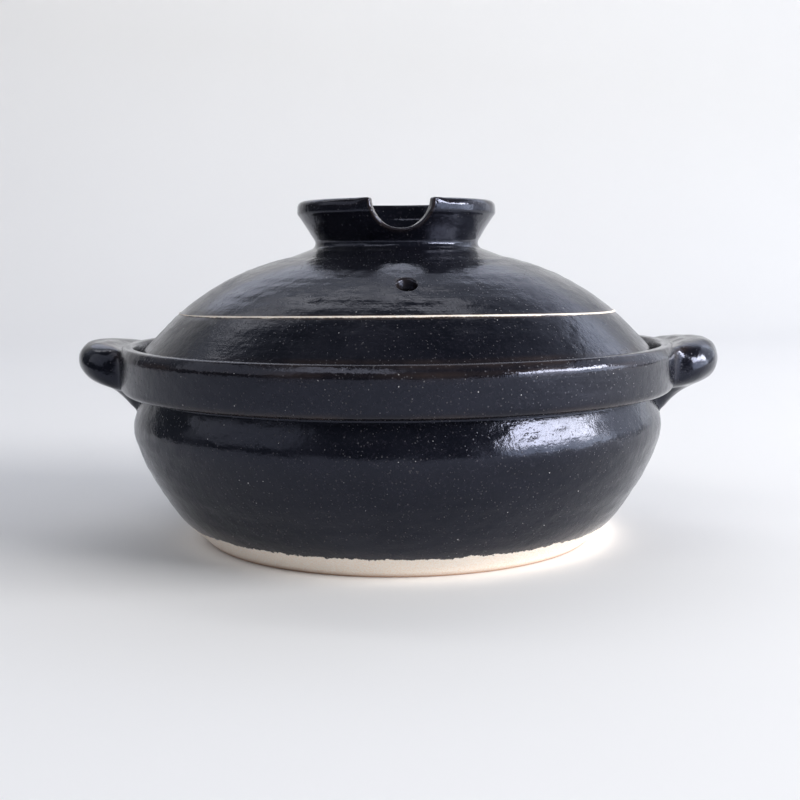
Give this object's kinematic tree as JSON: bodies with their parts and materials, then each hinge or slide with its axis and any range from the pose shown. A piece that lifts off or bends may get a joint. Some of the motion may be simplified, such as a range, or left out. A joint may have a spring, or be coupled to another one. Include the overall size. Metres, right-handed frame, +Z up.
{
  "type": "donabe clay pot",
  "caption": "Round glazed clay cooking pot with two ear handles on its rim collar and a lift-off domed lid with a notched ring knob and a steam hole.",
  "frame": {"origin": "on the pot's axis, at the table surface that the foot stands on", "axes": "+Z up along the pot's axis, X through the two ears, -Y towards the notch and the steam hole in the lid"},
  "size_m": [0.3056, 0.2624, 0.158],
  "materials": {
    "black_glaze": "semi-gloss iron-black glaze with small pale specks"
  },
  "bodies": {
    "pot": {"bowl": "black_glaze", "handle_left": "black_glaze", "handle_right": "black_glaze"},
    "lid": {"lid_dome": "black_glaze", "lid_knob": "black_glaze"}
  },
  "joints": [
    {"name": "lid_lift", "type": "slide", "parent": "pot", "child": "lid", "axis": [0, 0, 1], "range_m": [0, 0.2]}
  ]
}
